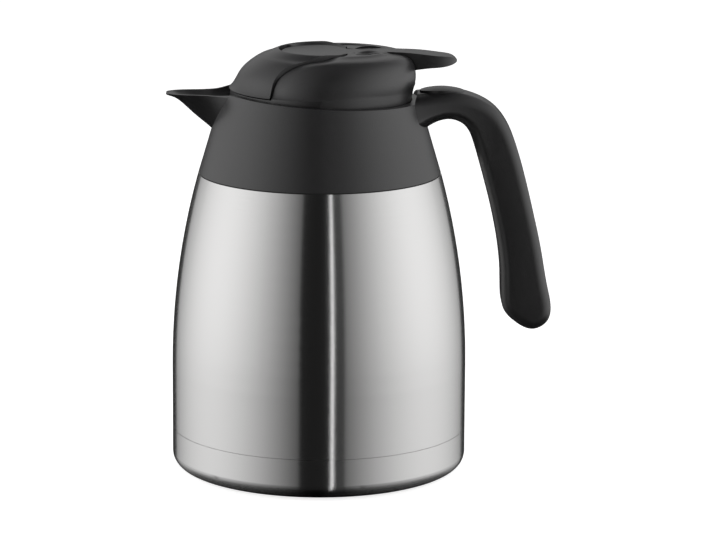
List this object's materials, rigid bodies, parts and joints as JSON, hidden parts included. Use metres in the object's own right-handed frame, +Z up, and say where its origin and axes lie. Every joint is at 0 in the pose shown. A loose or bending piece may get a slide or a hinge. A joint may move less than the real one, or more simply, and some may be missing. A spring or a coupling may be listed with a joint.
{
  "type": "thermal carafe with flip lid",
  "caption": "Insulated pouring jug: double-walled steel body, plastic collar with a beak and an open handle, and a screw-off lid with a sprung cover that tips up by a thumb lever.",
  "frame": {"origin": "on the flask's axis, at the plane that the carafe rests on", "axes": "+Z up, -X towards the pouring beak, +X towards the handle, X-Z is the mirror plane"},
  "size_m": [0.2027, 0.1554, 0.2238],
  "materials": {
    "plastic": "fine matte, charcoal",
    "inner_plastic": "smooth matte",
    "shell_steel": "brushed round the body",
    "liner_steel": "satin, electropolished",
    "hardware": "plain stainless steel",
    "silicone": "translucent grey silicone",
    "pad_rubber": "matte non-slip",
    "seam_rubber": "matte",
    "foam": "rigid closed-cell foam",
    "solder": "dull",
    "getter_metal": "dull grey"
  },
  "bodies": {
    "root": {"outer_shell": "shell_steel", "base_cup": "shell_steel", "base_pad": "pad_rubber", "inner_flask": "liner_steel", "vacuum_seal": "solder", "getter": "getter_metal", "seam_gasket": "seam_rubber", "collar": "plastic", "neck_gasket": "silicone", "lock_ring": "inner_plastic", "handle": "plastic", "grip_cover": "plastic", "handle_screws": "hardware", "thumb_rest": "plastic"},
    "stopper_seal": {"stopper_gasket": "silicone"},
    "lid": {"lid_body": "plastic", "stopper_cup": "inner_plastic", "stopper_foam": "foam", "stopper_base": "inner_plastic", "lid_screws": "hardware", "hinge_pin": "hardware", "return_spring": "hardware"},
    "flip": {"flip_cover": "plastic", "thumb_lever": "plastic", "lever_screws": "hardware", "seal_holder": "inner_plastic", "pour_seal": "silicone"}
  },
  "joints": [
    {"name": "lid_lift", "type": "slide", "parent": "root", "child": "stopper_seal", "axis": [0, 0, 1], "range_m": [0, 0.0452]},
    {"name": "lid_turn", "type": "hinge", "parent": "stopper_seal", "child": "lid", "pos_m": [0, 0, 0.19], "axis": [0, 0, 1], "range_deg": [0, 540]},
    {"name": "cover_flip", "type": "hinge", "parent": "lid", "child": "flip", "pos_m": [0.026, 0, 0.2186], "axis": [0, 1, 0], "range_deg": [0, 12], "stiffness_Nm_per_rad": 0.15, "springref_deg": -22.92, "deforming": ["return_spring"]}
  ],
  "couplings": [
    {"joint": "lid_lift", "follows": "lid_turn", "m_per_rad": 0.0047746}
  ]
}
